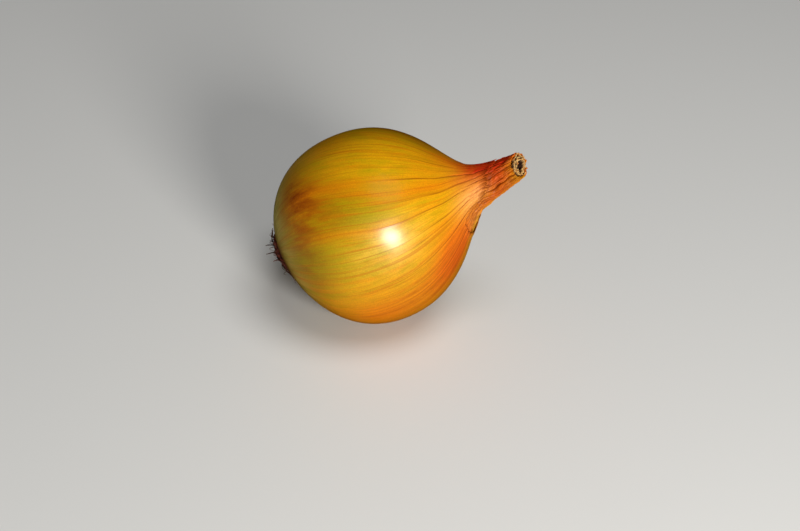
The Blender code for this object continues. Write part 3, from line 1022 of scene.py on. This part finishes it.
def make_layer_material(name, grain, mottle):
    """Dried layer ends: cream and tan at their torn edges, with painted shade down inside the neck."""
    material, tree, shader = new_material(name)
    depth = parts_of(tree, "glint_dull_shade")[2]
    tones = use_group(tree, mottle, place=on_object(tree), scale=per_axis(0.9 * MM),
                      detail=3.0, low=0.38, high=0.62, first=LAYER_CREAM, second=LAYER_TAN)
    streaks = use_group(tree, grain, place=attribute(tree, "fibre"), scale=per_axis(2.2 * MM, 5.0),
                        detail=3.0, roughness=0.55, dark=0.75, light=1.15)
    colour = mix_colour(tree, 1.0, tones["colour"], streaks["shade"], "MULTIPLY")
    # Painted shade darkens the layers down inside the neck.
    colour = mix_colour(tree, spread(tree, depth, 0.31, 0.42), colour, LAYER_DEEP_SHADE)
    link(tree, colour, shader.inputs["Base Color"])
    dry_finish(shader, 0.75, 0.25)
    relief(tree, shader, streaks["height"], 0.6, 0.08 * MM)
    return material


def make_root_plate_material(name, grain, mottle):
    """Dry cork: maroon and brown in patches, and near black in the cracks."""
    material, tree, shader = new_material(name)
    crack = parts_of(tree, "marks")[0]
    place_on = on_object(tree)
    tones = use_group(tree, mottle, place=place_on, scale=per_axis(1.1 * MM),
                      detail=4.0, low=0.35, high=0.65, first=CORK_MAROON, second=CORK_BROWN)
    grit = use_group(tree, grain, place=place_on, scale=per_axis(0.3 * MM), detail=3.0, roughness=0.55)
    colour = mix_colour(tree, times(tree, crack, 0.9), tones["colour"], CORK_CRACK)
    link(tree, colour, shader.inputs["Base Color"])
    dry_finish(shader, 0.9, 0.2)
    relief(tree, shader, grit["height"], 0.7, 0.12 * MM)
    return material


def make_root_material(name, grain, mottle):
    """Dried root fibre: dark brown, a little paler and redder towards some tips."""
    material, tree, shader = new_material(name)
    to_tip, paleness, _ = parts_of(tree, "marks")
    place_on = on_object(tree)
    tones = use_group(tree, mottle, place=place_on, scale=per_axis(0.8 * MM),
                      detail=3.0, low=0.35, high=0.65, first=ROOT_DARK, second=ROOT_BROWN)
    grit = use_group(tree, grain, place=place_on, scale=per_axis(0.18 * MM), detail=2.0, roughness=0.55)
    colour = mix_colour(tree, times(tree, to_tip, paleness), tones["colour"], ROOT_TIP)
    link(tree, colour, shader.inputs["Base Color"])
    dry_finish(shader, 0.85, 0.25)
    relief(tree, shader, grit["height"], 0.6, 0.06 * MM)
    return material


# ---------------------------------------------------------------- stage

def aim(place_at, target):
    """Turns from -Z towards the target, kept level."""
    return (Vector(target) - Vector(place_at)).to_track_quat("-Z", "Y")


def make_floor():
    """A plain pale floor, left out of what glossy skin mirrors."""
    mesh = bpy.data.meshes.new("floor")
    half = 3.0
    corners = [(-half, -half, 0), (half, -half, 0), (half, half, 0), (-half, half, 0)]
    mesh.from_pydata(corners, [], [(0, 1, 2, 3)])
    material, _, shader = new_material("floor")
    shader.inputs["Base Color"].default_value = (0.66, 0.67, 0.67, 1.0)
    shader.inputs["Roughness"].default_value = 0.6
    mesh.materials.append(material)
    floor = bpy.data.objects.new("floor", mesh)
    bpy.context.scene.collection.objects.link(floor)
    floor.visible_glossy = False


def make_area_light(name, azimuth, elevation, distance, size, power, colour):
    """A soft round light seen from the onion at an azimuth (0 towards -Y, + towards +X) and elevation."""
    light = bpy.data.lights.new(name, "AREA")
    light.shape = "DISK"
    light.size = size
    light.energy = power
    light.color = colour
    lamp = bpy.data.objects.new(name, light)
    bpy.context.scene.collection.objects.link(lamp)
    a, e = math.radians(azimuth), math.radians(elevation)
    away = Vector((math.sin(a) * math.cos(e), -math.cos(a) * math.cos(e), math.sin(e)))
    lamp.location = CENTRE + away * distance
    lamp.rotation_mode = "QUATERNION"
    lamp.rotation_quaternion = aim(lamp.location, CENTRE)
    return lamp


def make_world(strength):
    """An even, faint light from all round, left out of what glossy skin mirrors."""
    world = bpy.data.worlds.new("studio")
    bpy.context.scene.world = world
    world.use_nodes = True
    background = world.node_tree.nodes["Background"]
    background.inputs["Color"].default_value = (0.93, 0.96, 1.0, 1.0)
    background.inputs["Strength"].default_value = strength
    world.cycles_visibility.glossy = False


def make_camera():
    """A 60 mm lens from the front and above, with the onion a little left of the middle."""
    azimuth, elevation, roll = math.radians(-4.3), math.radians(36.0), math.radians(4.2)
    lens, sensor, distance = 60.0, 36.0, 494.7 * MM
    shift_right, shift_up = -0.0225, 0.0294
    back = Vector((math.sin(azimuth) * math.cos(elevation),
                   -math.cos(azimuth) * math.cos(elevation), math.sin(elevation)))
    right = Vector((math.cos(azimuth), math.sin(azimuth), 0.0))
    above = back.cross(right)
    x = shift_right * math.cos(roll) - shift_up * math.sin(roll)
    y = shift_right * math.sin(roll) + shift_up * math.cos(roll)
    data = bpy.data.cameras.new("camera")
    data.lens = lens
    data.sensor_width = sensor
    data.clip_start = 0.01
    camera = bpy.data.objects.new("camera", data)
    bpy.context.scene.collection.objects.link(camera)
    camera.location = CENTRE + distance * (back - x * right - y * above)
    turned = Matrix((right, above, back)).transposed().to_4x4() @ Matrix.Rotation(roll, 4, "Z")
    camera.rotation_mode = "QUATERNION"
    camera.rotation_quaternion = turned.to_quaternion()
    bpy.context.scene.camera = camera


# ---------------------------------------------------------------- build

grain = make_grain_group()
mottle = make_mottle_group()
skin = make_skin_material("dry_onion_skin", grain)
build_dry_skin(skin)
build_bulb_body(skin)
build_neck_layers(make_layer_material("dried_neck_layers", grain, mottle))
build_root_plate(make_root_plate_material("corky_root_plate", grain, mottle))
build_roots(make_root_material("dried_root_fibre", grain, mottle))
make_floor()
make_area_light("window", azimuth=22.3, elevation=18.6, distance=0.9, size=0.30,
                power=9.2, colour=(1.0, 0.96, 0.90))
overhead = make_area_light("overhead", azimuth=50.0, elevation=74.0, distance=1.8, size=1.1,
                           power=16.5, colour=(1.0, 0.98, 0.95))
overhead.visible_glossy = False
make_world(0.06)
make_camera()
bpy.context.scene.view_settings.view_transform = "Standard"
